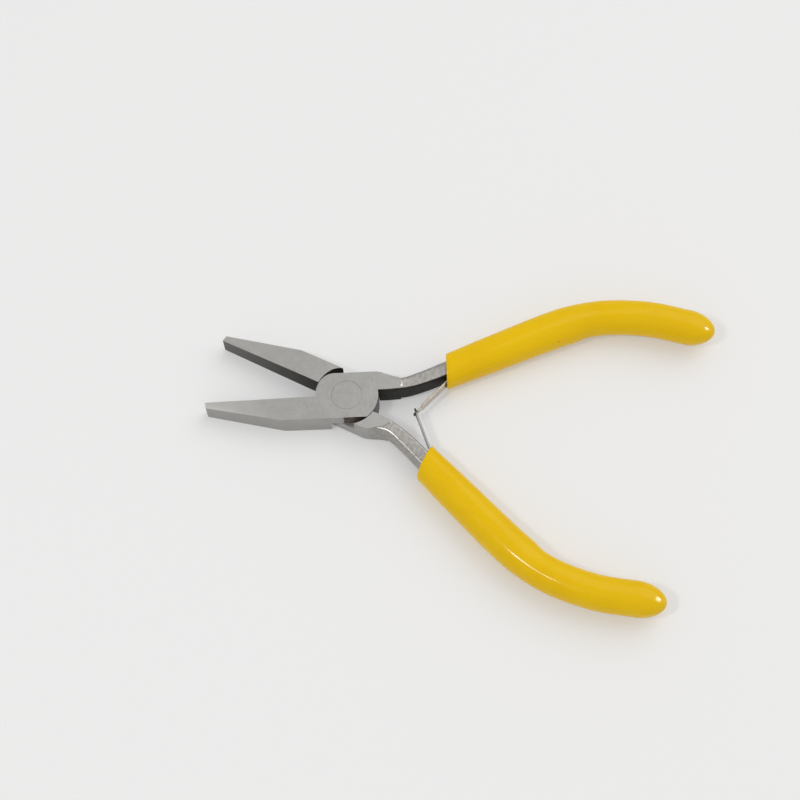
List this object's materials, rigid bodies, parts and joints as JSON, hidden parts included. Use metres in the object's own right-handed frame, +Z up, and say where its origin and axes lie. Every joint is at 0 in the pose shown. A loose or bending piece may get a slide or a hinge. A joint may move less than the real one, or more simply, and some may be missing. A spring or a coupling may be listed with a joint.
{
  "type": "flat nose pliers",
  "caption": "Small flat nose pliers with smooth tapered jaws, a flush riveted lap joint, bent handles in soft sleeve grips and crossed leaf springs that open the jaws.",
  "frame": {"origin": "on the pivot axis, at the lower ground face of the joint", "axes": "+Z up through the joint with the pliers lying flat, nose towards -X, handles towards +X along the line midway between them, +Y towards the handle of the half whose lap is on top"},
  "size_m": [0.1124, 0.0774, 0.0086],
  "materials": {
    "ground_steel": "satin surface-ground carbon steel on the jaws and joint, plated and rounded on the handle shanks",
    "yellow_pvc": "smooth semi-gloss soft PVC sleeve, warm yellow, rounded end",
    "spring_steel": "rolled spring strip with a slight temper tint",
    "rivet_steel": "plain steel, hidden inside the grip"
  },
  "bodies": {
    "top_half": {"top_lap_half": "ground_steel", "pivot_rivet": "ground_steel", "top_half_grip": "yellow_pvc", "top_half_spring_foot": "spring_steel", "top_half_spring_rivet": "rivet_steel"},
    "bottom_half": {"bottom_lap_half": "ground_steel", "bottom_half_grip": "yellow_pvc", "bottom_half_spring_foot": "spring_steel", "bottom_half_spring_rivet": "rivet_steel"},
    "top_leaf": {"top_half_spring_leaf": "spring_steel"},
    "bottom_leaf": {"bottom_half_spring_leaf": "spring_steel"}
  },
  "joints": [
    {"name": "jaw_hinge", "type": "hinge", "parent": "top_half", "child": "bottom_half", "pos_m": [0, 0, 0], "axis": [0, 0, 1], "range_deg": [-4, 28.6], "stiffness_Nm_per_rad": 0.6},
    {"name": "top_leaf_bend", "type": "hinge", "parent": "top_half", "child": "top_leaf", "pos_m": [0.02242, 0.01005, 0.0031], "axis": [0, 0, 1], "range_deg": [-24, 3.5]},
    {"name": "bottom_leaf_bend", "type": "hinge", "parent": "bottom_half", "child": "bottom_leaf", "pos_m": [0.02242, -0.01005, 0.0031], "axis": [0, 0, 1], "range_deg": [-3.5, 24]}
  ],
  "couplings": [
    {"joint": "top_leaf_bend", "follows": "jaw_hinge", "ratio": -0.83},
    {"joint": "bottom_leaf_bend", "follows": "jaw_hinge", "ratio": 0.83}
  ]
}
